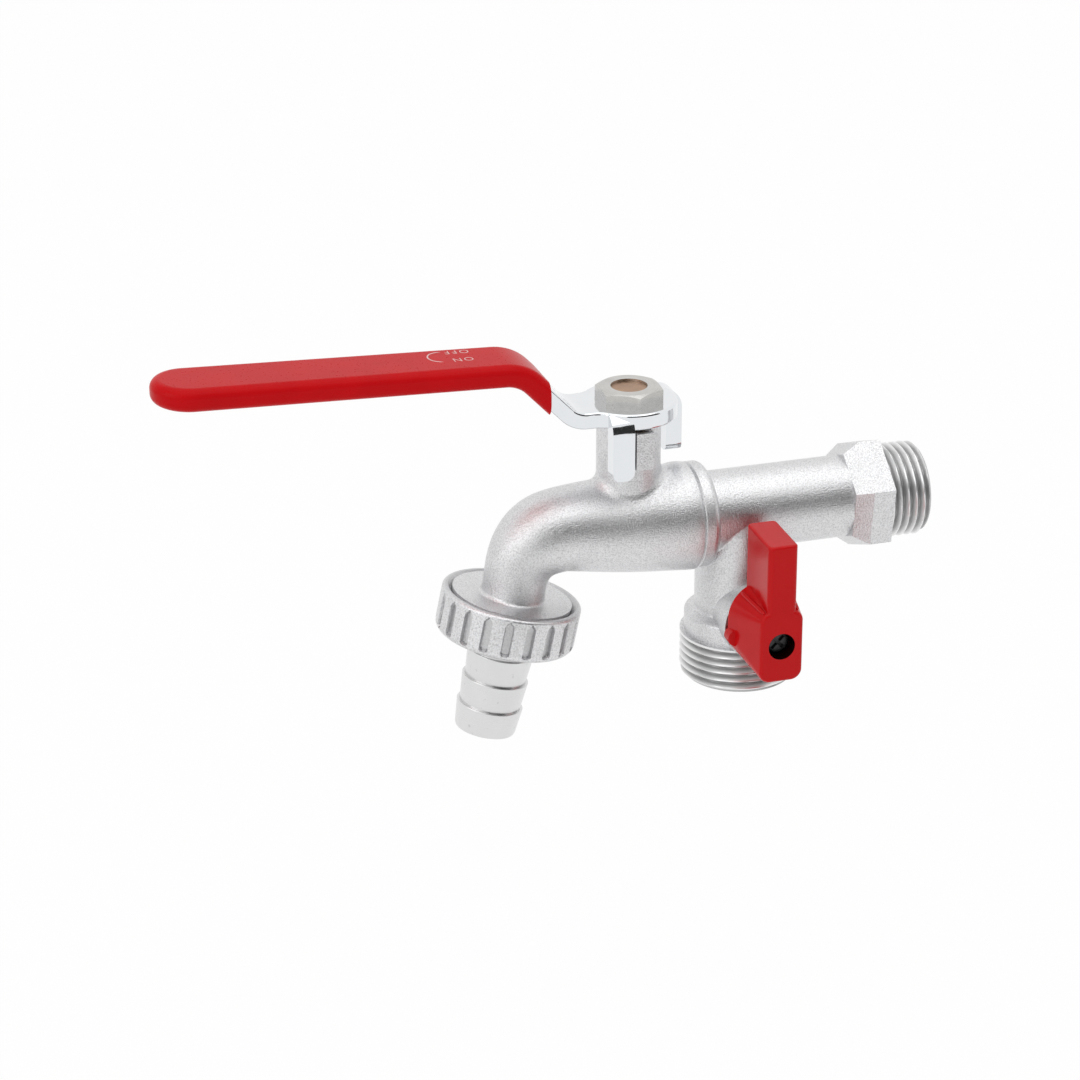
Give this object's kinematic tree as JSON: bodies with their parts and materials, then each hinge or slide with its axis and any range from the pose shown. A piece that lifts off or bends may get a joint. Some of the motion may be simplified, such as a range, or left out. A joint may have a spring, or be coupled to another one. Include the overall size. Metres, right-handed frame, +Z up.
{
  "type": "dual outlet garden tap",
  "caption": "Wall bib tap with a red lever ball valve, a curved spout with a union nut and barbed hose tail, and a threaded lower outlet with its own small lever valve.",
  "frame": {"origin": "centre of the inlet thread's shoulder, on the inlet's axis", "axes": "+X out of the inlet, towards the wall pipe; +Z up, along the main valve's stem; the side handle stands on the -Y side"},
  "size_m": [0.1716, 0.0414, 0.0909],
  "materials": {
    "nickel": "satin nickel plate over a sandblasted casting",
    "machined_nickel": "satin nickel plate over a turned surface",
    "lever_chrome": "bright chrome plate on a steel strip",
    "red_vinyl": "satin dipped red vinyl",
    "red_plastic": "glossy moulded red plastic",
    "nut_steel": "zinc plated steel",
    "brass": "machined brass",
    "ball_chrome": "polished chrome plated brass",
    "seat_plastic": "white low friction plastic",
    "black_rubber": "black rubber",
    "black_screw": "black oxide steel"
  },
  "bodies": {
    "tap_body": {"rear_body": "nickel", "front_body": "nickel", "main_seat_front": "seat_plastic", "main_seat_rear": "seat_plastic", "body_seal": "seat_plastic", "lower_seat_inner": "seat_plastic", "lower_seat_outer": "seat_plastic", "seat_retainer": "brass"},
    "main_lever": {"main_ball": "ball_chrome", "main_stem": "brass", "stem_thrust_washer": "seat_plastic", "stem_o_ring_lower": "black_rubber", "stem_o_ring_upper": "black_rubber", "lever": "lever_chrome", "lever_sleeve": "red_vinyl", "lever_nut": "nut_steel"},
    "side_lever": {"lower_ball": "ball_chrome", "side_stem": "brass", "side_thrust_washer": "seat_plastic", "side_o_ring": "black_rubber", "side_handle": "red_plastic", "handle_screw": "black_screw"},
    "hose_union": {"hose_tail": "machined_nickel", "hose_washer": "black_rubber"},
    "union_ring": {"union_nut": "nickel"}
  },
  "joints": [
    {"name": "main_valve_turn", "type": "hinge", "parent": "tap_body", "child": "main_lever", "pos_m": [-0.058, 0, 0], "axis": [0, 0, -1], "range_deg": [0, 90]},
    {"name": "side_valve_turn", "type": "hinge", "parent": "tap_body", "child": "side_lever", "pos_m": [-0.0315, 0, -0.0222], "axis": [0, 1, 0], "range_deg": [0, 90]},
    {"name": "hose_tail_travel", "type": "slide", "parent": "tap_body", "child": "hose_union", "axis": [-0.2045, 0, -0.9789], "range_m": [0, 0.005]},
    {"name": "union_nut_turn", "type": "hinge", "parent": "hose_union", "child": "union_ring", "pos_m": [-0.08438, 0, -0.01368], "axis": [-0.2045, 0, -0.9789], "range_deg": [0, 990]}
  ],
  "couplings": [
    {"joint": "hose_tail_travel", "follows": "union_nut_turn", "m_per_rad": 0.00028871}
  ]
}
